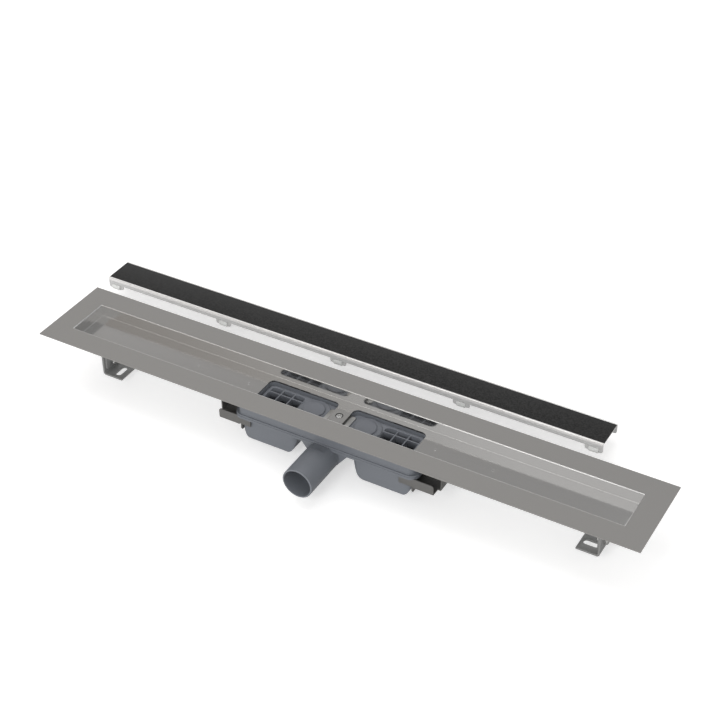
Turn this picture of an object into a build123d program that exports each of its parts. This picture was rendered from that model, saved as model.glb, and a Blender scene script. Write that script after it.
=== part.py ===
"""Shower channel drain: a folded steel tray, a plastic trap under it, two
height-adjustable feet and the lift-out cover that stands behind it.

Millimetres. The origin is the middle of the channel at the height of the
finished floor (the top of the flange). X runs along the channel, Y to the
back, Z up. The outlet points to the front, along -Y.
"""

import os
from math import radians, tan

from build123d import *

os.makedirs("parts", exist_ok=True)

# Tray
tray_length = 1020.0
tray_width = 150.0
flange_margin = 39.0
sheet = 1.5
recess_depth = 20.0
rim_bend = 1.6
floor_bend = 1.0

# Openings in the tray floor, one for each lift-out insert
opening_length = 123.5
opening_side_margin = 9.5
opening_corner = 9.0
bridge_width = 26.0
weld_from_hanger_end = 29.5
weld_from_recess_end = 215.0
weld_spot_radius = 2.2
weld_spot_height = 0.4

# Countersunk screw in the bridge, and the plate that it clamps
screw_diameter = 6.0
screw_head_diameter = 11.6
screw_clearance = 0.3
screw_length = 19.0
socket_across = 4.0
socket_depth = 2.4
dimple_wall = 1.5
clamp_gap = 3.5
clamp_length = 44.0
clamp_width = 28.0
clamp_thickness = 2.0
clamp_corner = 4.0
thread_chamfer = 0.75

# Plastic trap
wall = 2.4
gasket_thickness = 1.5
outlet_diameter = 50.0
outlet_crown_depth = 36.5
outlet_past_rim = 70.5
outlet_lip = 1.0
neck_step = 5.5
neck_past_rim = 16.0
neck_flat_length = 14.0
neck_flat_drop = 3.2
tub_inner_top = 45.0
tub_end_inset = 8.5
tub_side_inset = 7.0
tub_inner_lean = 18.0
tub_outer_lean = 10.0
tub_end_radius = 20.0
tub_corner = 14.0
tub_belly_radius = 4.0
flare_half_width = 46.0
rim_end_margin = 22.0
rim_side_margin = 26.5
rim_corner = 15.0
rim_skirt = 1.5
rim_skirt_wall = 2.0
lip_clearance = 0.2
collar_height = 15.0
collar_flange = 3.1
collar_flange_inset = 0.5
collar_end_inset = 5.5
collar_side_inset = 3.0
collar_corner = 12.0
collar_root_bend = 1.2
collar_flange_rounding = 0.8
deck_thickness = 3.0
boss_diameter = 16.0
boss_length = 14.0
pocket_gap = 1.0
pocket_floor = 2.0

# Necks of the collar, and the inserts that hang in them
neck_gap = 0.8
neck_wall = 2.0
neck_depth = 9.0
neck_ledge = 2.0
neck_ledge_thickness = 1.6
insert_drop = 8.4
insert_gap = 0.7
insert_deck = 2.4
insert_rail = 4.5
bar = 2.0
bar_depth = 12.0
lattice_cells = 3
lattice_from_cap = 0.8
lattice_from_end = 5.0
lattice_corner = 6.0
lattice_bar_y = 9.5
immersion_wall = 1.8
immersion_clearance = 18.5
seal_chamfer = 0.4
seal_height = 1.8

# Caps over the passage of each insert
cap_from_insert_end = 30.5
cap_overhang = 0.3
cap_flange = 1.2
cap_dome_inset = 7.8
cap_dome_height = 3.0
cap_dome_rounding = 1.8
cap_plug_inset = 7.3
cap_plug_length = 6.0
cap_plug_wall = 1.6
cap_fit = 0.2

# Hangers that carry the rim of the trap
hanger_sheet = 2.0
hanger_past_rim = 33.5
hanger_width = 69.0
hanger_side_inset = 3.0
hanger_drop = 18.1
hanger_lip_from_end = 6.0
hanger_lip_overlap = 29.5
hanger_tab_overlap = 10.5
hanger_tab_margin = 4.5
hanger_tab_depth = 12.8
hanger_lip_radius = 4.0
hanger_flange_length = 36.0
hanger_bend = 2.0

# Feet
ground_clearance = 3.5
foot_sheet = 3.0
foot_width = 42.0
foot_length = 36.5
foot_from_recess_end = 35.5
foot_height = 46.0
foot_bend = 1.5
foot_travel = 20.0
foot_bolt_above_ground = 16.5
foot_bolt_diameter = 6.0
foot_slot_clearance = 0.4
foot_play = 0.1
floor_slot_width = 10.0
floor_slot_length = 24.0
floor_slot_forward = 2.5
floor_slot_from_tip = 13.5
tongue_width = 34.0
tongue_flange = 28.0
tongue_end = 8.5
bolt_head_radius = 6.5
bolt_head_height = 4.2
bolt_head_rounding = 2.9
bolt_end = 1.0
washer_radius = 7.0
washer_thickness = 1.0
nut_across = 10.0
nut_thickness = 5.0
hex_key = 4.0
hex_key_depth = 2.5

# Cover, taken off the tray and standing on its own pads behind it
cover_end_gap = 4.0
cover_side_gap = 7.5
cover_leg = 11.5
cover_height = recess_depth
cover_shoulder = 3.05
cover_shoulder_radius = 1.6
inlay_thickness = 1.0
inlay_fit = 0.05
tab_count = 5
tab_length = 30.0
tab_radius = 4.0
pad_length = 15.6
pad_cheek = 1.2
pad_foot = 0.8
pad_wedge = 1.9
pad_fit = 0.05
cover_shift_x = -115.0
cover_shift_y = 217.0

# Levels
floor_top = -recess_depth
floor_under = floor_top - sheet
gasket_under = floor_under - gasket_thickness
clamp_top = floor_under - clamp_gap
clamp_under = clamp_top - clamp_thickness
insert_top = floor_top - insert_drop
rim_top = gasket_under - collar_height
weld_line = rim_top - collar_flange
rim_underside = weld_line - wall
hanger_bottom = rim_underside - hanger_drop
outlet_height = -outlet_crown_depth - outlet_diameter / 2
tub_bottom = outlet_height - outlet_diameter / 2
immersion_bottom = tub_bottom + immersion_clearance
foot_ground = tub_bottom - ground_clearance
foot_bolt_height = foot_ground + foot_bolt_above_ground

# Lengths and places that follow from the tray and its openings
recess_length = tray_length - 2 * flange_margin
recess_width = tray_width - 2 * flange_margin
opening_width = recess_width - 2 * opening_side_margin
opening_centre = bridge_width / 2 + opening_length / 2
rim_end = bridge_width / 2 + opening_length + rim_end_margin
rim_length = 2 * rim_end
rim_width = opening_width + 2 * rim_side_margin
collar_length = rim_length - 2 * collar_end_inset
collar_width = rim_width - 2 * collar_side_inset
tub_outer_top = rim_end - tub_end_inset
tub_depth = rim_width - 2 * tub_side_inset
outlet_front = -rim_width / 2 - outlet_past_rim
neck_front = -rim_width / 2 - neck_past_rim
hanger_end = rim_end + hanger_past_rim
hanger_foot_width = rim_width - 2 * hanger_side_inset
foot_outer = recess_length / 2 - foot_from_recess_end
cover_length = recess_length - 2 * cover_end_gap
cover_width = recess_width - 2 * cover_side_gap


def write(shape, name):
    """Label a finished piece and write it as one STEP file."""
    shape.label = name
    export_step(shape, f"parts/{name}.step")


def write_pair(shape, name):
    """Write a piece made for +X as name_right, and its mirror as name_left."""
    write(shape, f"{name}_right")
    write(mirror(shape, about=Plane.YZ), f"{name}_left")


# Tray: flange and recess folded from one sheet, with a pressed dimple
dimple_depth = (screw_head_diameter - screw_diameter) / 2
with BuildPart() as tray:
    with BuildSketch(Plane.XY.offset(-sheet)):
        Rectangle(tray_length, tray_width)
    extrude(amount=sheet)
    with BuildSketch(Plane.XY.offset(floor_under)):
        Rectangle(recess_length + 2 * sheet, recess_width + 2 * sheet)
    extrude(amount=recess_depth)
    trough_under = tray.faces().sort_by(Axis.Z)[0]
    fillet(trough_under.edges(), floor_bend + sheet)
    with BuildSketch(Plane.XY):
        Rectangle(recess_length, recess_width)
    extrude(amount=-recess_depth, mode=Mode.SUBTRACT)
    trough_floor = tray.faces().filter_by(Plane.XY).group_by(Axis.Z)[1][0]
    fillet(trough_floor.outer_wire().edges(), floor_bend)
    flange_top = tray.faces().filter_by(Plane.XY).sort_by(Axis.Z)[-1]
    fillet(flange_top.inner_wires()[0].edges(), rim_bend)
    with BuildSketch(Plane.XY.offset(floor_top)):
        with Locations((-opening_centre, 0), (opening_centre, 0)):
            RectangleRounded(opening_length, opening_width, opening_corner)
    extrude(amount=-sheet, mode=Mode.SUBTRACT)
    with BuildSketch(Plane.XY.offset(floor_under)):
        Circle(screw_head_diameter / 2 + dimple_wall)
    extrude(amount=-dimple_depth, taper=45)
    with Locations((0, 0, floor_top)):
        CounterSinkHole(
            screw_diameter / 2 + screw_clearance,
            screw_head_diameter / 2 + screw_clearance,
            depth=recess_depth,
            counter_sink_angle=90,
        )
    for spot in (hanger_end - weld_from_hanger_end, recess_length / 2 - weld_from_recess_end):
        with BuildSketch(Plane.XY.offset(floor_top)):
            with Locations((-spot, 0), (spot, 0)):
                Circle(weld_spot_radius)
        extrude(amount=weld_spot_height, taper=45)
write(tray.part, "tray")

# Clamp plate and its countersunk hexagon-socket screw
with BuildPart() as clamp_plate:
    with BuildSketch(Plane.XY.offset(clamp_under)):
        RectangleRounded(clamp_length, clamp_width, clamp_corner)
    extrude(amount=clamp_thickness)
    with Locations((0, 0, clamp_top)):
        Hole(screw_diameter / 2 + screw_clearance)
write(clamp_plate.part, "clamp_plate")

with BuildPart() as clamp_screw:
    with BuildSketch(Plane.XY.offset(floor_top)):
        Circle(screw_head_diameter / 2)
    extrude(amount=-dimple_depth, taper=45)
    with BuildSketch(Plane.XY.offset(floor_top - dimple_depth)):
        Circle(screw_diameter / 2)
    extrude(amount=-(screw_length - dimple_depth))
    chamfer(clamp_screw.edges().sort_by(Axis.Z)[0], thread_chamfer)
    with BuildSketch(Plane.XY.offset(floor_top)):
        RegularPolygon(socket_across / 2, 6, major_radius=False)
    extrude(amount=-socket_depth, mode=Mode.SUBTRACT)
write(clamp_screw.part, "clamp_screw")


# Trap body: two tubs, the collector between them and the outlet spigot
def tub(inset):
    """A tub's outer form, or with an inset the form of its hollow."""
    inner_lean = tan(radians(tub_inner_lean))
    outer_lean = tan(radians(tub_outer_lean))
    height = rim_underside - tub_bottom
    inner_bottom = tub_inner_top + height * inner_lean
    outer_bottom = tub_outer_top - height * outer_lean
    with BuildPart() as shape:
        with BuildSketch(Plane.XZ.offset(-tub_depth / 2 + inset)):
            with BuildLine():
                Polyline(
                    (tub_inner_top + inset, weld_line),
                    (tub_inner_top + inset, rim_underside),
                    (inner_bottom + inset, tub_bottom + inset),
                    (outer_bottom - inset, tub_bottom + inset),
                    (tub_outer_top - inset, rim_underside),
                    (tub_outer_top - inset, weld_line),
                    close=True,
                )
            make_face()
        extrude(amount=tub_depth - 2 * inset)
        ends = shape.edges().filter_by(Axis.Y).group_by(Axis.Z)[0]
        fillet(ends, tub_end_radius - inset)
        with BuildSketch(Plane.XY.offset(tub_bottom + inset)):
            with Locations(((tub_inner_top + tub_outer_top) / 2, 0)):
                RectangleRounded(
                    tub_outer_top - tub_inner_top - 2 * inset,
                    tub_depth - 2 * inset,
                    tub_corner - inset,
                )
        extrude(amount=weld_line - tub_bottom - inset, mode=Mode.INTERSECT)
        with BuildSketch(Plane.YZ.offset(tub_inner_top)) as section:
            with Locations((0, tub_bottom + inset)):
                Rectangle(
                    tub_depth - 2 * inset,
                    weld_line - tub_bottom - inset,
                    align=(Align.CENTER, Align.MIN),
                )
            fillet(section.vertices().group_by(Axis.Y)[0], tub_belly_radius)
        extrude(amount=tub_outer_top - tub_inner_top, mode=Mode.INTERSECT)
    return shape.part


def collector(inset):
    """The round-bottomed funnel between the tubs, or its hollow."""
    with BuildPart() as shape:
        with BuildSketch(Plane.XZ.offset(-tub_depth / 2 + inset)):
            with Locations((0, outlet_height)):
                Circle(outlet_diameter / 2 - inset)
            with Locations((0, weld_line)):
                Rectangle(2 * (flare_half_width - inset), wall, align=(Align.CENTER, Align.MAX))
            make_hull()
        extrude(amount=tub_depth - 2 * inset)
    return shape.part


tub_right = tub(0)
tub_left = mirror(tub_right, about=Plane.YZ)
tub_hollow_right = tub(wall)
tub_hollow_left = mirror(tub_hollow_right, about=Plane.YZ)
collector_solid = collector(0)
collector_hollow = collector(wall)

with BuildPart() as trap_body:
    with BuildSketch(Plane.XY.offset(rim_underside)):
        RectangleRounded(rim_length, rim_width, rim_corner)
    extrude(amount=weld_line - rim_underside)
    with BuildSketch(Plane.XY.offset(rim_underside - rim_skirt)):
        RectangleRounded(rim_length, rim_width, rim_corner)
        RectangleRounded(
            rim_length - 2 * rim_skirt_wall,
            rim_width - 2 * rim_skirt_wall,
            rim_corner - rim_skirt_wall,
            mode=Mode.SUBTRACT,
        )
    extrude(amount=rim_skirt)
    with BuildSketch(Plane.XY.offset(rim_underside - rim_skirt)):
        for side in (-1, 1):
            with Locations((0, side * (hanger_foot_width - hanger_sheet) / 2)):
                Rectangle(rim_length, hanger_sheet + 2 * lip_clearance)
    extrude(amount=rim_skirt, mode=Mode.SUBTRACT)
    add(tub_right)
    add(tub_left)
    add(collector_solid)
    with BuildSketch(Plane.XZ.offset(-tub_depth / 2 + wall)):
        with Locations((0, outlet_height)):
            Circle(outlet_diameter / 2)
    extrude(amount=-outlet_front + tub_depth / 2 - wall)
    crown_edge = trap_body.edges().filter_by(GeomType.CIRCLE).sort_by(Axis.Y)[0]
    fillet(crown_edge, outlet_lip)
    with BuildSketch(Plane.XY.offset(outlet_height + outlet_diameter / 2 - neck_flat_drop)):
        with Locations((0, -rim_width / 2)):
            Rectangle(outlet_diameter, neck_flat_length, align=(Align.CENTER, Align.MAX))
    extrude(amount=neck_flat_drop, mode=Mode.SUBTRACT)
    with BuildSketch(Plane.XY.offset(weld_line)):
        RectangleRounded(rim_length, rim_width, rim_corner)
    extrude(amount=-weld_line, mode=Mode.SUBTRACT)
    add(tub_hollow_right, mode=Mode.SUBTRACT)
    add(tub_hollow_left, mode=Mode.SUBTRACT)
    add(collector_hollow, mode=Mode.SUBTRACT)
    with BuildSketch(Plane.XZ.offset(-tub_depth / 2 + wall)):
        with Locations((0, outlet_height)):
            Circle(outlet_diameter / 2 - neck_step)
    extrude(amount=-neck_front + tub_depth / 2 - wall, mode=Mode.SUBTRACT)
    with BuildSketch(Plane.XZ.offset(-neck_front)):
        with Locations((0, outlet_height)):
            Circle(outlet_diameter / 2 - wall)
    extrude(amount=neck_front - outlet_front, mode=Mode.SUBTRACT)
write(trap_body.part, "trap_body")

# Trap collar: the upper moulding with a neck for each insert
neck_length = opening_length - 2 * neck_gap
neck_width = opening_width - 2 * neck_gap
neck_corner = opening_corner - neck_gap
neck_centres = ((-opening_centre, 0), (opening_centre, 0))
pocket_length = clamp_length + 2 * pocket_gap
pocket_width = clamp_width + 2 * pocket_gap
deck_under = gasket_under - deck_thickness
ledge_top = gasket_under - neck_depth + neck_ledge_thickness
with BuildPart() as trap_collar:
    with BuildSketch(Plane.XY.offset(weld_line)):
        RectangleRounded(
            rim_length - 2 * collar_flange_inset,
            rim_width - 2 * collar_flange_inset,
            rim_corner - collar_flange_inset,
        )
    extrude(amount=collar_flange)
    fillet(trap_collar.edges().group_by(Axis.Z)[-1], collar_flange_rounding)
    with BuildSketch(Plane.XY.offset(rim_top)):
        RectangleRounded(collar_length, collar_width, collar_corner)
    extrude(amount=collar_height)
    collar_seat = trap_collar.faces().filter_by(Plane.XY).group_by(Axis.Z)[-2][0]
    fillet(collar_seat.inner_wires()[0].edges(), collar_root_bend)
    with BuildSketch(Plane.XY.offset(weld_line)):
        RectangleRounded(collar_length - 2 * wall, collar_width - 2 * wall, collar_corner - wall)
    extrude(amount=deck_under - weld_line, mode=Mode.SUBTRACT)
    with BuildSketch(Plane.XY.offset(gasket_under - neck_depth)):
        with Locations(*neck_centres):
            RectangleRounded(
                neck_length + 2 * neck_wall,
                neck_width + 2 * neck_wall,
                neck_corner + neck_wall,
            )
    extrude(amount=neck_depth)
    with BuildSketch(Plane.XY.offset(clamp_under - pocket_floor)):
        Rectangle(bridge_width + 2 * neck_gap, pocket_width + 2 * neck_wall)
    extrude(amount=gasket_under - clamp_under + pocket_floor)
    with BuildSketch(Plane.XY.offset(clamp_under - boss_length)):
        Circle(boss_diameter / 2)
    extrude(amount=boss_length)
    with BuildSketch(Plane.XY.offset(ledge_top)):
        with Locations(*neck_centres):
            RectangleRounded(neck_length, neck_width, neck_corner)
    extrude(amount=gasket_under - ledge_top, mode=Mode.SUBTRACT)
    with BuildSketch(Plane.XY.offset(gasket_under - neck_depth)):
        with Locations(*neck_centres):
            RectangleRounded(
                neck_length - 2 * neck_ledge,
                neck_width - 2 * neck_ledge,
                neck_corner - neck_ledge,
            )
    extrude(amount=neck_ledge_thickness, mode=Mode.SUBTRACT)
    with BuildSketch(Plane.XY.offset(clamp_under)):
        Rectangle(pocket_length, pocket_width)
    extrude(amount=gasket_under - clamp_under, mode=Mode.SUBTRACT)
    with BuildSketch(Plane.XY.offset(clamp_under)):
        Circle(screw_diameter / 2)
    extrude(amount=-boss_length, mode=Mode.SUBTRACT)
write(trap_collar.part, "trap_collar")

# Gasket between the collar and the underside of the tray
with BuildPart() as trap_gasket:
    with BuildSketch(Plane.XY.offset(gasket_under)):
        RectangleRounded(collar_length, recess_width, collar_corner)
        with Locations(*neck_centres):
            RectangleRounded(opening_length, opening_width, opening_corner, mode=Mode.SUBTRACT)
        Rectangle(pocket_length, pocket_width, mode=Mode.SUBTRACT)
    extrude(amount=gasket_thickness)
write(trap_gasket.part, "trap_gasket")

# Insert: deck, lattice over the inlet, and the wall that dips into the water
insert_length = neck_length - 2 * insert_gap
insert_width = neck_width - 2 * insert_gap
insert_corner = neck_corner - insert_gap
cap_centre = opening_centre - insert_length / 2 + cap_from_insert_end
cap_radius = insert_width / 2 + cap_overhang
cap_plug_radius = cap_radius - cap_plug_inset
lattice_start = cap_centre + cap_radius + lattice_from_cap
lattice_end = opening_centre + insert_length / 2 - lattice_from_end
lattice_length = lattice_end - lattice_start
lattice_centre = (lattice_start + lattice_end) / 2
lattice_pitch = (lattice_length + bar) / lattice_cells
lattice_width = insert_width - 2 * insert_rail
lattice_bottom = insert_top - bar_depth
with BuildPart() as trap_insert:
    with BuildSketch(Plane.XY.offset(ledge_top)):
        with Locations((opening_centre, 0)):
            RectangleRounded(insert_length, insert_width, insert_corner)
    extrude(amount=insert_top - ledge_top)
    with BuildSketch(Plane.XY.offset(ledge_top)):
        with Locations((opening_centre, 0)):
            RectangleRounded(
                insert_length - 2 * insert_rail,
                insert_width - 2 * insert_rail,
                lattice_corner,
            )
    extrude(amount=insert_top - insert_deck - ledge_top, mode=Mode.SUBTRACT)
    with BuildSketch(Plane.XY.offset(immersion_bottom)):
        with Locations((lattice_centre, 0)):
            RectangleRounded(
                lattice_length + 2 * immersion_wall,
                lattice_width + 2 * immersion_wall,
                lattice_corner + immersion_wall,
            )
    extrude(amount=insert_top - immersion_bottom)
    with BuildSketch(Plane.XY.offset(immersion_bottom)):
        with Locations((lattice_centre, 0)):
            RectangleRounded(lattice_length, lattice_width, lattice_corner)
    extrude(amount=insert_top - immersion_bottom, mode=Mode.SUBTRACT)
    with BuildSketch(Plane.XY.offset(lattice_bottom)):
        with Locations((lattice_centre, -lattice_bar_y), (lattice_centre, lattice_bar_y)):
            Rectangle(lattice_length + bar, bar)
        for place in range(1, lattice_cells):
            with Locations((lattice_start - bar / 2 + place * lattice_pitch, 0)):
                Rectangle(bar, lattice_width + bar)
    extrude(amount=bar_depth)
    with Locations((cap_centre, 0, insert_top)):
        Hole(cap_plug_radius + cap_fit)
write_pair(trap_insert.part, "trap_insert")

# Lip seal round each insert, in the gap to the neck
seal_centre = (opening_centre, 0)
with BuildPart() as insert_seal:
    with BuildSketch(Plane.XY.offset(ledge_top)):
        with Locations(seal_centre):
            RectangleRounded(neck_length, neck_width, neck_corner)
            RectangleRounded(insert_length, insert_width, insert_corner, mode=Mode.SUBTRACT)
    extrude(amount=seal_height)
    seal_lip = insert_seal.faces().sort_by(Axis.Z)[-1].outer_wire().edges()
    chamfer(seal_lip, seal_chamfer)
write_pair(insert_seal.part, "insert_seal")

# Cap: a low dome with a plug that seats in the hole of the insert's deck
with BuildPart() as trap_cap:
    with BuildSketch(Plane.XY.offset(insert_top)):
        with Locations((cap_centre, 0)):
            Circle(cap_radius)
    extrude(amount=cap_flange)
    fillet(trap_cap.edges().group_by(Axis.Z)[-1], cap_flange / 2)
    with BuildSketch(Plane.XY.offset(insert_top + cap_flange)):
        with Locations((cap_centre, 0)):
            Circle(cap_radius - cap_dome_inset)
    extrude(amount=cap_dome_height)
    fillet(trap_cap.edges().group_by(Axis.Z)[-1], cap_dome_rounding)
    with BuildSketch(Plane.XY.offset(insert_top - cap_plug_length)):
        with Locations((cap_centre, 0)):
            Circle(cap_plug_radius)
    extrude(amount=cap_plug_length)
    with BuildSketch(Plane.XY.offset(insert_top - cap_plug_length)):
        with Locations((cap_centre, 0)):
            Circle(cap_plug_radius - cap_plug_wall)
    extrude(amount=cap_plug_length, mode=Mode.SUBTRACT)
write_pair(trap_cap.part, "trap_cap")

# Hanger: one folded sheet, welded under the tray, that carries the rim
hanger_lip_start = rim_end - hanger_lip_overlap
hanger_lip_end = hanger_end - hanger_lip_from_end
hanger_tab_start = rim_end - hanger_tab_overlap
hanger_tab_width = hanger_foot_width - 2 * hanger_tab_margin
tab_face = hanger_tab_start + hanger_sheet
lip_root = hanger_bottom + hanger_sheet / 2 + hanger_bend
with BuildPart() as trap_hanger:
    with BuildSketch(Plane.XZ.offset(-hanger_width / 2)):
        with BuildLine():
            end_path = FilletPolyline(
                (hanger_end - hanger_flange_length, floor_under - hanger_sheet / 2),
                (hanger_end - hanger_sheet / 2, floor_under - hanger_sheet / 2),
                (hanger_end - hanger_sheet / 2, hanger_bottom + hanger_sheet / 2),
                (hanger_lip_end, hanger_bottom + hanger_sheet / 2),
                radius=hanger_bend,
            )
        trace(end_path, line_width=hanger_sheet)
    extrude(amount=hanger_width)
    with BuildSketch(Plane.XZ.offset(-hanger_tab_width / 2)):
        with BuildLine():
            tab_path = FilletPolyline(
                (hanger_lip_end - hanger_bend, hanger_bottom + hanger_sheet / 2),
                (hanger_tab_start + hanger_sheet / 2, hanger_bottom + hanger_sheet / 2),
                (hanger_tab_start + hanger_sheet / 2, hanger_bottom - hanger_tab_depth),
                radius=hanger_bend,
            )
        trace(tab_path, line_width=hanger_sheet)
    extrude(amount=hanger_tab_width)
    tab_corners = trap_hanger.edges().filter_by(Axis.X).group_by(Axis.Z)[0]
    fillet(tab_corners, hanger_lip_radius)
    with BuildSketch(Plane.YZ.offset(tab_face)):
        with BuildLine():
            lip_path = FilletPolyline(
                (-hanger_foot_width / 2 + hanger_sheet / 2, lip_root + hanger_sheet),
                (-hanger_foot_width / 2 + hanger_sheet / 2, hanger_bottom + hanger_sheet / 2),
                (hanger_foot_width / 2 - hanger_sheet / 2, hanger_bottom + hanger_sheet / 2),
                (hanger_foot_width / 2 - hanger_sheet / 2, lip_root + hanger_sheet),
                radius=hanger_bend,
            )
        trace(lip_path, line_width=hanger_sheet)
    extrude(amount=hanger_lip_end - tab_face)
    for lip_back in (-hanger_foot_width / 2, hanger_foot_width / 2 - hanger_sheet):
        with BuildSketch(Plane.XZ.offset(lip_back)) as lip:
            with Locations(((hanger_lip_start + hanger_lip_end) / 2, lip_root)):
                Rectangle(
                    hanger_lip_end - hanger_lip_start,
                    rim_underside - lip_root,
                    align=(Align.CENTER, Align.MIN),
                )
            fillet(lip.vertices().group_by(Axis.Y)[-1], hanger_lip_radius)
        extrude(amount=hanger_sheet)
write_pair(trap_hanger.part, "trap_hanger")

# Tongue: welded under the recess, it holds the bolt of the foot
leg_inner = foot_outer - foot_sheet
tongue_outer = leg_inner - foot_play
tongue_inner = tongue_outer - foot_sheet
bolt_hole = foot_bolt_diameter / 2 + foot_slot_clearance / 2
with BuildPart() as foot_tongue:
    with BuildSketch(Plane.XZ.offset(-tongue_width / 2)):
        with BuildLine():
            tongue_path = FilletPolyline(
                (tongue_outer - tongue_flange, floor_under - foot_sheet / 2),
                (tongue_outer - foot_sheet / 2, floor_under - foot_sheet / 2),
                (tongue_outer - foot_sheet / 2, foot_bolt_height - tongue_end),
                radius=foot_bend + foot_sheet / 2,
            )
        trace(tongue_path, line_width=foot_sheet)
    extrude(amount=tongue_width)
    tongue_corners = foot_tongue.edges().filter_by(Axis.X).group_by(Axis.Z)[0]
    fillet(tongue_corners, tongue_end / 2)
    with BuildSketch(Plane.YZ.offset(tongue_inner)):
        with Locations((0, foot_bolt_height)):
            Circle(bolt_hole)
    extrude(amount=foot_sheet, mode=Mode.SUBTRACT)
write_pair(foot_tongue.part, "foot_tongue")


# Foot bracket: an L with a vertical slot for height and a slot to fix it down
def foot_bracket(slot_along_channel):
    """One L bracket, with its floor slot along or across the channel."""
    floor_slot_x = foot_outer - foot_length + floor_slot_from_tip
    if slot_along_channel:
        floor_slot_x = foot_outer - foot_length / 2 - foot_sheet / 2
    with BuildPart() as shape:
        with BuildSketch(Plane.XZ.offset(-foot_width / 2)):
            with BuildLine():
                foot_path = FilletPolyline(
                    (foot_outer - foot_length, foot_ground + foot_sheet / 2),
                    (foot_outer - foot_sheet / 2, foot_ground + foot_sheet / 2),
                    (foot_outer - foot_sheet / 2, foot_ground + foot_height),
                    radius=foot_bend + foot_sheet / 2,
                )
            trace(foot_path, line_width=foot_sheet)
        extrude(amount=foot_width)
        top_corners = shape.edges().filter_by(Axis.X).group_by(Axis.Z)[-1]
        fillet(top_corners, tongue_end)
        with BuildSketch(Plane.YZ.offset(foot_outer - foot_sheet)):
            with Locations((0, foot_bolt_height + foot_travel / 2)):
                SlotCenterToCenter(foot_travel, 2 * bolt_hole, rotation=90)
        extrude(amount=foot_sheet, mode=Mode.SUBTRACT)
        with BuildSketch(Plane.XY.offset(foot_ground)):
            with Locations((floor_slot_x, -floor_slot_forward)):
                SlotOverall(
                    floor_slot_length,
                    floor_slot_width,
                    rotation=0 if slot_along_channel else 90,
                )
        extrude(amount=foot_sheet, mode=Mode.SUBTRACT)
    return shape.part


write(foot_bracket(True), "foot_bracket_right")
write(mirror(foot_bracket(False), about=Plane.YZ), "foot_bracket_left")

# Washer, domed socket bolt and nut of each foot
washer_inner = foot_outer + foot_play
washer_outer = washer_inner + washer_thickness
with BuildPart() as foot_washer:
    with BuildSketch(Plane.YZ.offset(washer_inner)):
        with Locations((0, foot_bolt_height)):
            Circle(washer_radius)
            Circle(bolt_hole, mode=Mode.SUBTRACT)
    extrude(amount=washer_thickness)
write_pair(foot_washer.part, "foot_washer")

nut_inner = tongue_inner - nut_thickness
with BuildPart() as foot_bolt:
    with BuildSketch(Plane.YZ.offset(nut_inner - bolt_end)):
        with Locations((0, foot_bolt_height)):
            Circle(foot_bolt_diameter / 2)
    extrude(amount=washer_outer - nut_inner + bolt_end)
    chamfer(foot_bolt.edges().sort_by(Axis.X)[0], thread_chamfer)
    with BuildSketch(Plane.YZ.offset(washer_outer)):
        with Locations((0, foot_bolt_height)):
            Circle(bolt_head_radius)
    extrude(amount=bolt_head_height)
    fillet(foot_bolt.edges().sort_by(Axis.X)[-1], bolt_head_rounding)
    with BuildSketch(Plane.YZ.offset(washer_outer + bolt_head_height)):
        with Locations((0, foot_bolt_height)):
            RegularPolygon(hex_key / 2, 6, major_radius=False)
    extrude(amount=-hex_key_depth, mode=Mode.SUBTRACT)
write_pair(foot_bolt.part, "foot_bolt")

with BuildPart() as foot_nut:
    with BuildSketch(Plane.YZ.offset(nut_inner)):
        with Locations((0, foot_bolt_height)):
            RegularPolygon(nut_across / 2, 6, major_radius=False)
            Circle(foot_bolt_diameter / 2, mode=Mode.SUBTRACT)
    extrude(amount=nut_thickness)
write_pair(foot_nut.part, "foot_nut")

# Cover: an inverted folded channel with tabs, its inlay and its pads
cover_top = foot_ground + cover_height
cover_start = cover_shift_x - cover_length / 2
inlay_width = cover_width - 2 * cover_shoulder
leg_y = cover_width / 2
tab_bottom = foot_ground + pad_foot
tab_pitch = (cover_length - tab_length) / (tab_count - 1)
tab_places = [cover_start + tab_length / 2 + tab_pitch * place for place in range(tab_count)]
with BuildPart() as cover_profile:
    with BuildSketch(Plane.YZ.offset(cover_start)):
        with Locations((cover_shift_y, cover_top)):
            Rectangle(cover_width, cover_leg, align=(Align.CENTER, Align.MAX))
    extrude(amount=cover_length)
    top_edges = cover_profile.edges().filter_by(Axis.X).group_by(Axis.Z)[-1]
    fillet(top_edges, cover_shoulder_radius)
    web_under = cover_top - inlay_thickness - sheet
    with BuildSketch(Plane.YZ.offset(cover_start)):
        with Locations((cover_shift_y, web_under)):
            Rectangle(
                cover_width - 2 * sheet,
                cover_leg - inlay_thickness - sheet,
                align=(Align.CENTER, Align.MAX),
            )
    extrude(amount=cover_length, mode=Mode.SUBTRACT)
    with BuildSketch(Plane.YZ.offset(cover_start)):
        with Locations((cover_shift_y, cover_top)):
            Rectangle(inlay_width, inlay_thickness, align=(Align.CENTER, Align.MAX))
    extrude(amount=cover_length, mode=Mode.SUBTRACT)
    for side in (-1, 1):
        tab_plane = Plane.XZ.offset(-cover_shift_y - side * (leg_y - sheet / 2) - sheet / 2)
        with BuildSketch(tab_plane):
            for place in tab_places:
                with Locations((place, tab_bottom)):
                    Rectangle(
                        tab_length,
                        cover_top - cover_leg - tab_bottom,
                        align=(Align.CENTER, Align.MIN),
                    )
        extrude(amount=sheet)
    tab_ends = cover_profile.edges().filter_by(Axis.Y).group_by(Axis.Z)[0]
    fillet(tab_ends, tab_radius)
write(cover_profile.part, "cover_profile")

with BuildPart() as cover_inlay:
    with BuildSketch(Plane.YZ.offset(cover_start)):
        with Locations((cover_shift_y, cover_top - inlay_thickness)):
            Rectangle(
                inlay_width - 2 * inlay_fit,
                inlay_thickness,
                align=(Align.CENTER, Align.MIN),
            )
    extrude(amount=cover_length)
write(cover_inlay.part, "cover_inlay")

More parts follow.
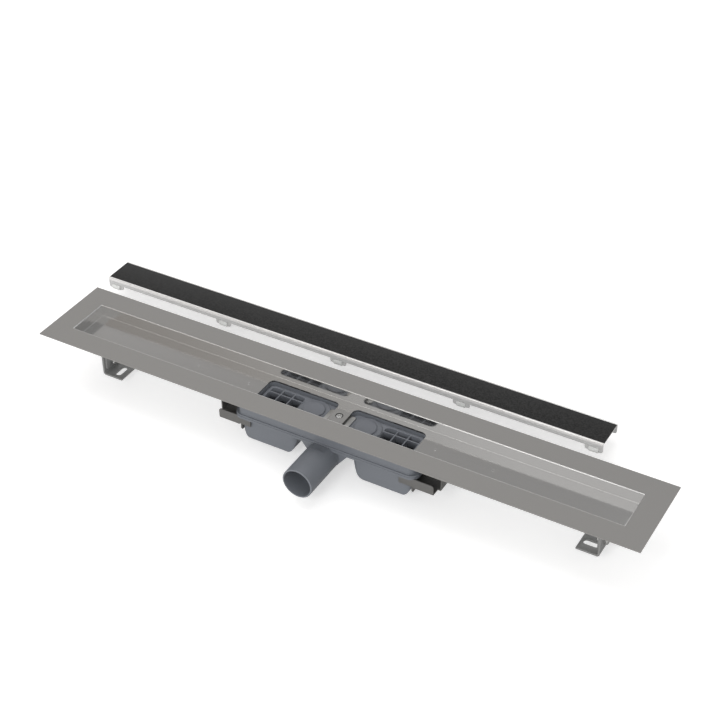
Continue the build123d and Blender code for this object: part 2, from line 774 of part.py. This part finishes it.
# Pad: a clip pushed onto each tab, with a wedge on its outer cheek
pad_top = cover_top - cover_leg
for side, row in ((-1, "front"), (1, "back")):
    outer = cover_shift_y + side * leg_y
    inner = outer - side * sheet
    for number, place in enumerate(tab_places, start=1):
        with BuildPart() as cover_pad:
            with BuildSketch(Plane.YZ.offset(place - pad_length / 2)):
                with BuildLine():
                    Polyline(
                        (inner - side * (pad_fit + pad_cheek), foot_ground),
                        (outer + side * (pad_fit + pad_cheek), foot_ground),
                        (outer + side * (pad_fit + pad_cheek + pad_wedge), (foot_ground + pad_top) / 2),
                        (outer + side * (pad_fit + pad_cheek), pad_top),
                        (outer + side * pad_fit, pad_top),
                        (outer + side * pad_fit, tab_bottom),
                        (inner - side * pad_fit, tab_bottom),
                        (inner - side * pad_fit, pad_top),
                        (inner - side * (pad_fit + pad_cheek), pad_top),
                        close=True,
                    )
                make_face()
            extrude(amount=pad_length)
        write(cover_pad.part, f"cover_pad_{row}_{number}")
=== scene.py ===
"""Looks of the channel drain: a steel tray with a polished trough, its plastic
trap, two feet, and the lifted cover that stands behind it. Metres, CAD frame.
"""

import math

import bmesh
import bpy
from mathutils import Matrix, Vector
from mathutils.geometry import delaunay_2d_cdt


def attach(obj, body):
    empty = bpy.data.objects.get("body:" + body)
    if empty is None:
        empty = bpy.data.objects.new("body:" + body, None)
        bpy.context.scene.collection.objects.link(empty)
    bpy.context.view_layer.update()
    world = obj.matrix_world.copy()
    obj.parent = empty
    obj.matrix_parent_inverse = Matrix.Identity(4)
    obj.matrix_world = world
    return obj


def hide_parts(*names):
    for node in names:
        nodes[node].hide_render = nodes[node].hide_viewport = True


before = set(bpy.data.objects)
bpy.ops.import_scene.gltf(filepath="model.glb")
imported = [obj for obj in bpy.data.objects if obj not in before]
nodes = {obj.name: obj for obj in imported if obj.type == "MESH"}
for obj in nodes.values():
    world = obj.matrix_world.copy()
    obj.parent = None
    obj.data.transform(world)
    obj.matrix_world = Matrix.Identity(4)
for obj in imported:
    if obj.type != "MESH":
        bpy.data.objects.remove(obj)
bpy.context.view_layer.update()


# Tray. One sheet of 1.5 mm stainless steel, folded to a flange and a trough,
# with the seams of the trough's ends welded. The flange is fine matte, for
# the sealing membrane; the trough is polished from the bend of its rim down.
def fill_in(made, values):
    """Sets or links a node's inputs, by name or number. A list links several to one."""
    for socket, value in values.items():
        for one in value if isinstance(value, list) else [value]:
            if isinstance(one, bpy.types.NodeSocket):
                made.id_data.links.new(one, made.inputs[socket])
            else:
                made.inputs[socket].default_value = one


def node_maker(tree):
    """Gives the function that adds nodes to a tree, with their inputs filled in."""

    def node(kind, values=None, **settings):
        made = tree.nodes.new(kind)
        for key, value in settings.items():
            setattr(made, key, value)
        fill_in(made, values or {})
        return made

    return node


def shader_tree(name):
    """A material, the shader in it, and the maker of its other nodes."""
    material = bpy.data.materials.new(name)
    material.use_nodes = True
    tree = material.node_tree
    return material, tree.nodes["Principled BSDF"], node_maker(tree)


def grain(node, scale, stretch, detail=4.0):
    """Noise on Object coordinates, finer across the stretched axes."""
    place = node("ShaderNodeTexCoord").outputs["Object"]
    scaled = node("ShaderNodeMapping", {"Vector": place, "Scale": stretch}).outputs[0]
    return node("ShaderNodeTexNoise", {"Vector": scaled, "Scale": scale, "Detail": detail}).outputs["Fac"]


def spread(node, value, low, high):
    """Maps a 0 to 1 value onto low to high."""
    return node("ShaderNodeMapRange", {"Value": value, "To Min": low, "To Max": high}).outputs["Result"]


def blend_colours(node, factor, dark, light):
    """A colour between dark and light, each of them a colour or a socket."""
    first_colour, second_colour, mixed_colour = 6, 7, 2
    ends = [end if isinstance(end, bpy.types.NodeSocket) else (*end, 1) for end in (dark, light)]
    values = {"Factor": factor, first_colour: ends[0], second_colour: ends[1]}
    return node("ShaderNodeMix", values, data_type="RGBA").outputs[mixed_colour]


def unevenness(node, height, strength):
    """The slight relief of a finish, a fraction of 0.2 mm deep."""
    values = {"Height": height, "Strength": strength, "Distance": 0.0002}
    return node("ShaderNodeBump", values).outputs[0]


def surface(name, dark, light, rough, metal, scale=900.0, stretch=(1, 1, 1), bump=0.05):
    """A material whose colour, roughness and relief all follow one grain."""
    material, shader, node = shader_tree(name)
    fine = grain(node, scale, stretch)
    look = {
        "Base Color": blend_colours(node, fine, dark, light),
        "Roughness": spread(node, fine, *rough),
        "Metallic": metal,
        "Normal": unevenness(node, fine, bump),
    }
    fill_in(shader, look)
    return material


def add_object(name, data):
    """A new object in the scene."""
    made = bpy.data.objects.new(name, data)
    bpy.context.scene.collection.objects.link(made)
    return made


def add_shaded(name, mesh, crease):
    """A new object that is shaded smooth, but for edges past the crease angle."""
    mesh.polygons.foreach_set("use_smooth", [True] * len(mesh.polygons))
    mesh.set_sharp_from_angle(angle=math.radians(crease))
    return add_object(name, mesh)


flange_matte = surface(
    "flange_matte",
    dark=(0.265, 0.258, 0.25),
    light=(0.32, 0.313, 0.304),
    rough=(0.42, 0.55),
    metal=0.5,
    scale=1500,
    bump=0.1,
)
trough_polish = surface(
    "trough_polish",
    dark=(0.63, 0.625, 0.617),
    light=(0.64, 0.635, 0.627),
    rough=(0.13, 0.15),
    metal=0.97,
    scale=400,
    stretch=(0.05, 6, 6),
    bump=0.0003,
)
# Near-black steel: painted shade on the cone of the screw's dimple, and the dark weld tint on the crowns of
# the weld spots.
weld_tint_and_painted_shade = surface(
    "weld_tint_and_painted_shade",
    dark=(0.02, 0.02, 0.02),
    light=(0.045, 0.044, 0.043),
    rough=(0.5, 0.7),
    metal=0.3,
)

sheet = 0.0015
flange_half = (0.510, 0.075)
trough_half = (0.471, 0.036)
trough_depth = 0.020
rim_bend, floor_bend, least_bend = 0.0016, 0.0005, 0.0004
flat_strip = 0.0004
bend_steps, half_turn_steps = 8, 24
tray_crease = 30
matte, polish, painted_shade_slot = 0, 1, 2
opening_half, opening_corner, opening_x = (0.06175, 0.0265), 0.009, 0.07475
head_radius, neck_radius, dimple_depth = 0.0061, 0.0033, 0.0028


def opening_outline(centre_x):
    """Points round one of the two openings, anticlockwise."""
    corner_steps = 12
    points = []
    for quarter, (x_side, y_side) in enumerate(((1, 1), (-1, 1), (-1, -1), (1, -1))):
        for step in range(corner_steps + 1):
            angle = (quarter + step / corner_steps) * math.pi / 2
            x = centre_x + x_side * (opening_half[0] - opening_corner) + opening_corner * math.cos(angle)
            y = y_side * (opening_half[1] - opening_corner) + opening_corner * math.sin(angle)
            points.append((x, y))
    return points


def rectangle(half, grow=0.0):
    """Corners of a rectangle, anticlockwise, grown outwards by a step."""
    x, y = half[0] + grow, half[1] + grow
    return [(x, y), (-x, y), (-x, -y), (x, -y)]


def inside(point, loop):
    """Whether a point lies within a convex loop that runs anticlockwise."""
    return all((b - a).cross(point - a) > 0 for a, b in zip(loop, loop[1:] + loop[:1]))


class TraySkin:
    """Vertices and faces of the tray, which is built up ring by ring."""

    def __init__(self):
        self.points, self.faces, self.slots = [], [], []

    def ring(self, outline, z):
        """Adds an outline at one height, and gives the numbers of its points."""
        start = len(self.points)
        self.points += [(x, y, z) for x, y in outline]
        return list(range(start, start + len(outline)))

    def wall(self, lower, upper, slot=matte, flip=False):
        """Joins two rings that have the same number of points."""
        count = len(lower)
        for i in range(count):
            j = (i + 1) % count
            face = (lower[i], lower[j], upper[j], upper[i])
            self.faces.append(face[::-1] if flip else face)
            self.slots.append(slot)

    def sheet(self, rings, slot=matte, flip=False):
        """Fills the first ring, leaving the others open. All are convex and anticlockwise."""
        order = [i for ring in rings for i in ring]
        loops = [[Vector(self.points[i][:2]) for i in ring] for ring in rings]
        edges = []
        for loop in loops:
            start, count = len(edges), len(loop)
            edges += [(start + i, start + (i + 1) % count) for i in range(count)]
        points = [point for loop in loops for point in loop]
        whole_hull, touching = 0, 1e-9
        corners, _, triangles, origins, *_ = delaunay_2d_cdt(points, edges, [], whole_hull, touching)
        for triangle in triangles:
            middle = sum((corners[i] for i in triangle), Vector((0, 0))) / 3
            if any(inside(middle, loop) for loop in loops[1:]):
                continue
            face = tuple(order[origins[i][0]] for i in triangle)
            a, b, c = (Vector(self.points[i]) for i in face)
            upwards = (b - a).cross(c - a).z > 0
            self.faces.append(face if upwards != flip else face[::-1])
            self.slots.append(slot)

    def finish(self, name, materials):
        """The finished tray, with its materials in the order of their slots."""
        mesh = bpy.data.meshes.new(name)
        mesh.from_pydata(self.points, [], self.faces)
        for material in materials:
            mesh.materials.append(material)
        mesh.polygons.foreach_set("material_index", self.slots)
        mesh.update()
        return add_shaded(name, mesh, tray_crease)


# The order is from the flange's edge over the top into the trough, through
# the openings and the screw's dimple, and back along the underside.
tray = TraySkin()
bend = [step / bend_steps * math.pi / 2 for step in range(bend_steps + 1)]
turn = [step * math.pi / half_turn_steps for step in range(2 * half_turn_steps)]
circle = [(math.cos(a), math.sin(a)) for a in turn]


def trough_loops(offset):
    """(growth of the trough's outline, z) down one face of the sheet."""
    rim_radius = max(rim_bend - offset, least_bend)
    floor_radius = floor_bend + offset
    face, floor = -offset, -trough_depth - offset
    loops = [(offset + rim_radius * (1 - math.sin(a)), face - rim_radius * (1 - math.cos(a))) for a in bend]
    loops += [
        (offset - floor_radius * (1 - math.cos(a)), floor + floor_radius * (1 - math.sin(a))) for a in bend
    ]
    return loops


def round_ring(radius, z):
    """A ring of the tray round the axis of the screw."""
    return tray.ring([(x * radius, y * radius) for x, y in circle], z)


top_edge = tray.ring(rectangle(flange_half), 0)
inner_top = tray.ring(rectangle(trough_half, rim_bend + flat_strip), 0)
tray.sheet([top_edge, inner_top])
previous = inner_top
for grow, z in trough_loops(0):
    following = tray.ring(rectangle(trough_half, grow), z)
    tray.wall(following, previous, slot=polish, flip=True)
    previous = following
floor_edge = tray.ring(rectangle(trough_half, -floor_bend - flat_strip), -trough_depth)
tray.wall(floor_edge, previous, slot=polish, flip=True)
openings = [opening_outline(side * opening_x) for side in (-1, 1)]
floor_holes = [tray.ring(outline, -trough_depth) for outline in openings]
head = round_ring(head_radius, -trough_depth)
tray.sheet([floor_edge, *floor_holes, head], slot=polish)

under_floor = -trough_depth - sheet
under_holes = [tray.ring(outline, under_floor) for outline in openings]
for upper, lower in zip(floor_holes, under_holes):
    tray.wall(lower, upper, slot=polish, flip=True)
cone = round_ring(neck_radius, -trough_depth - dimple_depth)
# The dimple's cone is painted near black, as painted shade in the groove round the screw head.
tray.wall(cone, head, slot=painted_shade_slot, flip=True)
under_edge = tray.ring(rectangle(trough_half, -floor_bend - flat_strip), under_floor)
boss = round_ring(head_radius + sheet, under_floor)
tray.sheet([under_edge, *under_holes, boss], flip=True)
boss_end = round_ring(neck_radius + sheet, under_floor - dimple_depth)
tray.wall(boss_end, boss)
cone_end = round_ring(neck_radius, under_floor - dimple_depth)
tray.wall(cone_end, boss_end)
tray.wall(cone_end, cone, slot=polish, flip=True)

previous = under_edge
for grow, z in reversed(trough_loops(sheet)):
    following = tray.ring(rectangle(trough_half, grow), z)
    tray.wall(previous, following)
    previous = following
under_flange = tray.ring(rectangle(flange_half), -sheet)
tray.sheet([under_flange, previous], flip=True)
tray.wall(under_flange, top_edge)
tray_sheet = tray.finish("tray_sheet", (flange_matte, trough_polish, weld_tint_and_painted_shade))
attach(tray_sheet, "drain")
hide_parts("tray")

# Weld spots. Spot-welding from below leaves four low domes of the tray's own
# steel on the trough's floor, dull on the crown. The inner two are over the
# hangers.
spot_x = (0.1625, 0.256)
spot_places = [(side * x, 0, -trough_depth) for x in spot_x for side in (-1, 1)]
# Brow and Crown are shares of the radius, and the brow has its share of the height too.
spot_sizes = {"Radius": 0.0022, "Height": 0.0004, "Brow": 0.8, "Crown": 0.4}
spot_tree = bpy.data.node_groups.new("weld_spot_tree", "GeometryNodeTree")
spot_tree.interface.new_socket("Places", in_out="INPUT", socket_type="NodeSocketGeometry")
spot_sockets = {
    size: spot_tree.interface.new_socket(size, in_out="INPUT", socket_type="NodeSocketFloat")
    for size in spot_sizes
}
spot_tree.interface.new_socket("Spots", in_out="OUTPUT", socket_type="NodeSocketGeometry")
node = node_maker(spot_tree)


def reckon(operation, a, b):
    """A size worked out from two others."""
    return node("ShaderNodeMath", {0: a, 1: b}, operation=operation).outputs[0]


def frustum(low_radius, high_radius, depth):
    """A round slope of the dome, closed at both ends."""
    sizes = {"Vertices": len(circle), "Radius Bottom": low_radius, "Radius Top": high_radius, "Depth": depth}
    return node("GeometryNodeMeshCone", sizes)


def without(part, end):
    """A slope with one of its ends taken off."""
    values = {"Geometry": part.outputs["Mesh"], "Selection": part.outputs[end]}
    return node("GeometryNodeDeleteGeometry", values, domain="FACE").outputs[0]


given = node("NodeGroupInput").outputs
brow_radius = reckon("MULTIPLY", given["Radius"], given["Brow"])
crown_radius = reckon("MULTIPLY", given["Radius"], given["Crown"])
brow_height = reckon("MULTIPLY", given["Height"], given["Brow"])
crown_rise = reckon("SUBTRACT", given["Height"], brow_height)
foot_slope = frustum(given["Radius"], brow_radius, brow_height)
crown_slope = frustum(brow_radius, crown_radius, crown_rise)
lift = node("ShaderNodeCombineXYZ", {"Z": brow_height}).outputs[0]
lifted = node("GeometryNodeTransform", {"Geometry": without(crown_slope, "Bottom"), "Translation": lift})
slopes = node("GeometryNodeJoinGeometry", {"Geometry": [without(foot_slope, "Top"), lifted.outputs[0]]})
dome = node("GeometryNodeMergeByDistance", {"Geometry": slopes.outputs[0], "Distance": 1e-6})
domes = node("GeometryNodeInstanceOnPoints", {"Points": given["Places"], "Instance": dome.outputs[0]})
real = node("GeometryNodeRealizeInstances", {"Geometry": domes.outputs[0]})
bright = node("GeometryNodeSetMaterial", {"Geometry": real.outputs[0], "Material": trough_polish})
crown = {"Geometry": bright.outputs[0], "Selection": crown_slope.outputs["Top"], "Material": weld_tint_and_painted_shade}
node("NodeGroupOutput", {"Spots": node("GeometryNodeSetMaterial", crown).outputs[0]})

place_mesh = bpy.data.meshes.new("spot_places")
place_mesh.from_pydata(spot_places, [], [])
spot_maker = add_object("spot_places", place_mesh)
welding = spot_maker.modifiers.new("weld_spots", "NODES")
welding.node_group = spot_tree
for size, value in spot_sizes.items():
    welding[spot_sockets[size].identifier] = value
welded = spot_maker.evaluated_get(bpy.context.evaluated_depsgraph_get())
spot_mesh = bpy.data.meshes.new_from_object(welded)
bpy.data.objects.remove(spot_maker)
tray_weld_spots = add_shaded("tray_weld_spots", spot_mesh, tray_crease)
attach(tray_weld_spots, "drain")


# Clamp plate and its screw. A pressed steel strip under the bridge, and a
# bright countersunk socket screw that pulls the trap up against the tray.
def soften(node_name, material, edge, body="drain"):
    """Stands in for a CAD node with the same form, its sharp edges broken."""
    part_crease, nearly_flat = 35, math.radians(0.5)
    form = bmesh.new()
    form.from_mesh(nodes[node_name].data)
    bmesh.ops.remove_doubles(form, verts=form.verts, dist=1e-6)
    bmesh.ops.dissolve_limit(
        form, angle_limit=nearly_flat, verts=form.verts, edges=form.edges, delimit={"NORMAL"}
    )
    bmesh.ops.bevel(
        form,
        geom=[line for line in form.edges if line.calc_face_angle(0) > math.radians(part_crease)],
        offset=edge,
        offset_type="OFFSET",
        segments=2,
        profile=0.5,
        affect="EDGES",
        clamp_overlap=False,
    )
    mesh = bpy.data.meshes.new(node_name + "_form")
    form.to_mesh(mesh)
    form.free()
    mesh.materials.append(material)
    made = add_shaded(node_name + "_form", mesh, part_crease)
    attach(made, body)
    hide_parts(node_name)
    return made


clamp_steel = surface(
    "clamp_steel",
    dark=(0.42, 0.42, 0.41),
    light=(0.55, 0.55, 0.54),
    rough=(0.25, 0.4),
    metal=0.9,
)
soften("clamp_plate", clamp_steel, edge=0.0003)
screw_steel = surface(
    "screw_steel",
    dark=(0.60, 0.60, 0.60),
    light=(0.74, 0.74, 0.73),
    rough=(0.12, 0.25),
    metal=1.0,
)
screw = soften("clamp_screw", screw_steel, edge=0.0003)

# The rim of the screw's head is drawn in and lowered, which opens the groove
# between the head and the dimple; the dimple's cone there carries painted shade.
rim_from_z, rim_from_reach, drawn_reach, rim_drop = -0.0212, 0.0045, 0.0046, 0.0008
for vertex in screw.data.vertices:
    reach = math.hypot(vertex.co.x, vertex.co.y)
    if vertex.co.z > rim_from_z and reach > rim_from_reach:
        vertex.co.x *= drawn_reach / reach
        vertex.co.y *= drawn_reach / reach
        vertex.co.z -= rim_drop

# Trap body and collar. Two injection mouldings of blue-grey polypropylene with
# a satin skin. Their rim flanges lie on each other and are welded at one line,
# and both keep their CAD meshes, so that this line stays crisp.
trap_plastic = surface(
    "trap_plastic",
    dark=(0.143, 0.154, 0.174),
    light=(0.172, 0.184, 0.204),
    rough=(0.38, 0.5),
    metal=0.0,
    scale=700,
    bump=0.08,
)
for part in ("trap_body", "trap_collar"):
    nodes[part].data.materials.clear()
    nodes[part].data.materials.append(trap_plastic)

# Inserts and caps. The same plastic in another batch: decks with a lattice
# over the inlet, and the domed caps pushed into their round holes.
insert_plastic = surface(
    "insert_plastic",
    dark=(0.14, 0.15, 0.17),
    light=(0.17, 0.18, 0.202),
    rough=(0.34, 0.46),
    metal=0.0,
    scale=700,
    bump=0.08,
)
for side in ("left", "right"):
    soften(f"trap_insert_{side}", insert_plastic, edge=0.0004)
    soften(f"trap_cap_{side}", insert_plastic, edge=0.0004)

# Seals. Soft black rubber: the gasket under the tray and the lip round each
# insert, pressed into the gaps they close.
seal_rubber = surface(
    "seal_rubber",
    dark=(0.02, 0.02, 0.021),
    light=(0.035, 0.035, 0.037),
    rough=(0.55, 0.75),
    metal=0.0,
    scale=1200,
    bump=0.15,
)
soften("trap_gasket", seal_rubber, edge=0.0002)
for side in ("left", "right"):
    soften(f"insert_seal_{side}", seal_rubber, edge=0.0001)

# Hangers. Folded 2 mm steel with its mill finish, spot-welded under the
# trough, one at each end of the trap, to carry its rim.
hanger_steel = surface(
    "hanger_steel",
    dark=(0.14, 0.138, 0.133),
    light=(0.185, 0.182, 0.176),
    rough=(0.4, 0.55),
    metal=0.45,
    scale=600,
    stretch=(1, 8, 1),
)
for side in ("left", "right"):
    soften(f"trap_hanger_{side}", hanger_steel, edge=0.0003)

# Feet. Bent 3 mm steel: a tongue welded under the trough and an L bracket
# with its slots, held together by a domed socket bolt, a washer and a nut.
foot_steel = surface(
    "foot_steel",
    dark=(0.265, 0.267, 0.265),
    light=(0.335, 0.337, 0.333),
    rough=(0.4, 0.55),
    metal=0.4,
    scale=600,
    stretch=(8, 1, 1),
)
bolt_steel = surface(
    "bolt_steel",
    dark=(0.40, 0.40, 0.39),
    light=(0.55, 0.55, 0.54),
    rough=(0.18, 0.32),
    metal=1.0,
)
for side in ("left", "right"):
    soften(f"foot_tongue_{side}", foot_steel, edge=0.0003)
    soften(f"foot_bracket_{side}", foot_steel, edge=0.0003, body=f"foot_{side}")
    for part, edge in (("bolt", 0.0002), ("washer", 0.0001), ("nut", 0.0003)):
        soften(f"foot_{part}_{side}", bolt_steel, edge=edge)


# Cover profile. Satin stainless sheet folded to an inverted channel, with
# polished round shoulders that end level with the inlay, and five tabs a side.
# The shoulders' near-white colour is a painted highlight.
def portion(node, value, low, high):
    """Maps low to high onto 0 to 1."""
    return node("ShaderNodeMapRange", {"Value": value, "From Min": low, "From Max": high}).outputs["Result"]


cover_steel, shader, node = shader_tree("cover_steel")
cover_top = max(vertex.co.z for vertex in nodes["cover_profile"].data.vertices)
shoulder_height, shoulder_fade = 0.0038, 0.0008
place = node("ShaderNodeTexCoord").outputs["Object"]
height = node("ShaderNodeSeparateXYZ", {"Vector": place}).outputs["Z"]
# The top band of the profile, its round shoulders, is a little less rough, and its near-white colour is a
# painted highlight.
bright = portion(node, height, cover_top - shoulder_height - shoulder_fade, cover_top - shoulder_height)
drawn = grain(node, 700, (0.1, 3, 3), detail=1.0)
satin_colour = blend_colours(node, drawn, (0.64, 0.64, 0.64), (0.655, 0.655, 0.655))
roughness = {0: spread(node, drawn, 0.32, 0.34), 1: spread(node, bright, 0.0, -0.08)}
look = {
    "Base Color": blend_colours(node, bright, satin_colour, (0.93, 0.915, 0.905)),
    "Roughness": node("ShaderNodeMath", roughness, operation="ADD").outputs[0],
    "Metallic": 0.5,
    "Normal": unevenness(node, drawn, 0.002),
}
fill_in(shader, look)
soften("cover_profile", cover_steel, edge=0.0002)

# Cover inlay. A black laminate strip with a fine crystalline grain, glued
# flush between the shoulders.
inlay_black, shader, node = shader_tree("inlay_black")
crystals = grain(node, 420, (1, 1, 1), detail=6.0)
speckle = portion(node, crystals, 0.36, 0.64)
look = {
    "Base Color": blend_colours(node, speckle, (0.006, 0.006, 0.006), (0.034, 0.034, 0.034)),
    "Roughness": spread(node, speckle, 0.55, 0.75),
    "Specular IOR Level": 0.3,
    "Normal": unevenness(node, speckle, 0.3),
}
fill_in(shader, look)
soften("cover_inlay", inlay_black, edge=0.0001)

# Cover pads. Whitish translucent plastic clips pushed onto the tabs, with a
# wedge outside that centres the cover in the trough.
pad_plastic = surface(
    "pad_plastic",
    dark=(0.66, 0.67, 0.66),
    light=(0.76, 0.77, 0.76),
    rough=(0.3, 0.45),
    metal=0.0,
    scale=500,
    bump=0.03,
)
for row in ("front", "back"):
    for number in range(1, 6):
        soften(f"cover_pad_{row}_{number}", pad_plastic, edge=0.0003)

# Floor. A plain pale studio floor, just under the feet at the lowest that they
# reach. It shows white to the camera and keeps the drain's soft shadow.
floor_size, floor_height, floor_glow = 14, -0.1104, 0.45
bpy.ops.mesh.primitive_plane_add(size=floor_size, location=(0, 0, floor_height))
floor = bpy.context.object
floor.name = "studio_floor"
floor_paint, shader, node = shader_tree("floor_paint")
to_camera = node("ShaderNodeLightPath").outputs["Is Camera Ray"]
look = {
    "Base Color": (0.8, 0.8, 0.8, 1),
    "Roughness": 0.9,
    "Specular IOR Level": 0.0,
    "Emission Color": (1, 1, 1, 1),
    "Emission Strength": spread(node, to_camera, 0.0, floor_glow),
}
fill_in(shader, look)
floor.data.materials.append(floor_paint)

# Studio room. White to the camera. The steel mirrors it in greys: bright low at
# the back, dark across the middle, and bright again high at the front right.
world = bpy.data.worlds.new("studio")
bpy.context.scene.world = world
world.use_nodes = True
room = world.node_tree
node = node_maker(room)
bright_side = (0.35, -0.75, 0.56)
heading = node("ShaderNodeTexCoord").outputs["Generated"]
facing = node("ShaderNodeVectorMath", {0: heading, 1: bright_side}, operation="DOT_PRODUCT").outputs["Value"]
ramp = node("ShaderNodeValToRGB", {"Fac": portion(node, facing, -1.0, 1.0)})
# Each stop is its place from the far side to the bright one, its grey, and its warmth.
stops = (
    (0.0, 1.10, 0), (0.26, 1.10, 0), (0.32, 0.54, 0), (0.335, 0.46, 0.03), (0.35, 0.30, 0.02),
    (0.365, 0.36, 0.01), (0.52, 0.36, 0), (0.60, 0.38, 0), (0.79, 0.53, 0.05), (0.815, 0.54, 0.05),
    (0.83, 0.65, 0.04), (0.857, 0.71, 0), (0.883, 1.02, 0), (0.90, 1.01, 0), (1.0, 0.90, 0),
)
for position, _, _ in stops[2:]:
    ramp.color_ramp.elements.new(position)
for element, (position, grey, warmth) in zip(ramp.color_ramp.elements, stops):
    element.position = position
    element.color = (grey, grey * (1 - warmth), grey * (1 - 2 * warmth), 1)
seen = node("ShaderNodeLightPath").outputs["Is Camera Ray"]
wall_colour = blend_colours(node, seen, ramp.outputs["Color"], (1, 1, 1))
fill_in(room.nodes["Background"], {"Color": wall_colour})


# Studio lamps. Two soft ones hang overhead, a small cool one at the back makes
# a glint on the steel, one stands low in front, and a fill from the front
# right reaches under the flange and isn't mirrored.
def lamp(name, place, target, size, power, tint=(1, 1, 1), mirrored=True):
    """A soft square area lamp that points at target."""
    light = bpy.data.lights.new(name, "AREA")
    light.size = size
    light.energy = power
    light.color = tint
    made = add_object(name, light)
    made.location = place
    made.rotation_euler = (Vector(target) - Vector(place)).to_track_quat("-Z", "Y").to_euler()
    made.visible_glossy = mirrored


lamp("overhead", (-1.1, 0.0, 2.2), (-0.1, 0, 0), size=1.2, power=8.5, tint=(1.0, 0.965, 0.935))
lamp("canopy", (0.0, -0.15, 2.1), (0, 0, 0), size=1.2, power=7)
lamp("back_glint", (0.30, 1.55, 1.85), (-0.3, 0, 0), size=0.5, power=1.2, tint=(0.9, 0.96, 1.0))
lamp("low_front", (-0.6, -2.6, 0.32), (0, 0, -0.05), size=0.8, power=6)
lamp("front_fill", (0.30, -2.0, 1.40), (0, 0, -0.02), size=0.6, power=17, mirrored=False)

# Camera. The view of the photograph, from the front right and above, with the
# slight roll of its horizon.
camera = add_object("camera", bpy.data.cameras.new("camera"))
camera_place = (0.954268, -1.565841, 1.457986)
azimuth, elevation, roll = 0.52983058, 0.64313392, -0.01208759
level = math.cos(elevation)
back = Vector((math.sin(azimuth) * level, -math.cos(azimuth) * level, math.sin(elevation)))
across = (-back).cross(Vector((0, 0, 1))).normalized()
upward = across.cross(-back)
right = math.cos(roll) * across + math.sin(roll) * upward
up = -math.sin(roll) * across + math.cos(roll) * upward
turned = Matrix((right, up, back)).transposed().to_4x4()
camera.matrix_world = Matrix.Translation(camera_place) @ turned
camera.data.sensor_width = 36
camera.data.lens = 78.3343
bpy.context.scene.camera = camera
bpy.context.scene.view_settings.view_transform = "Standard"
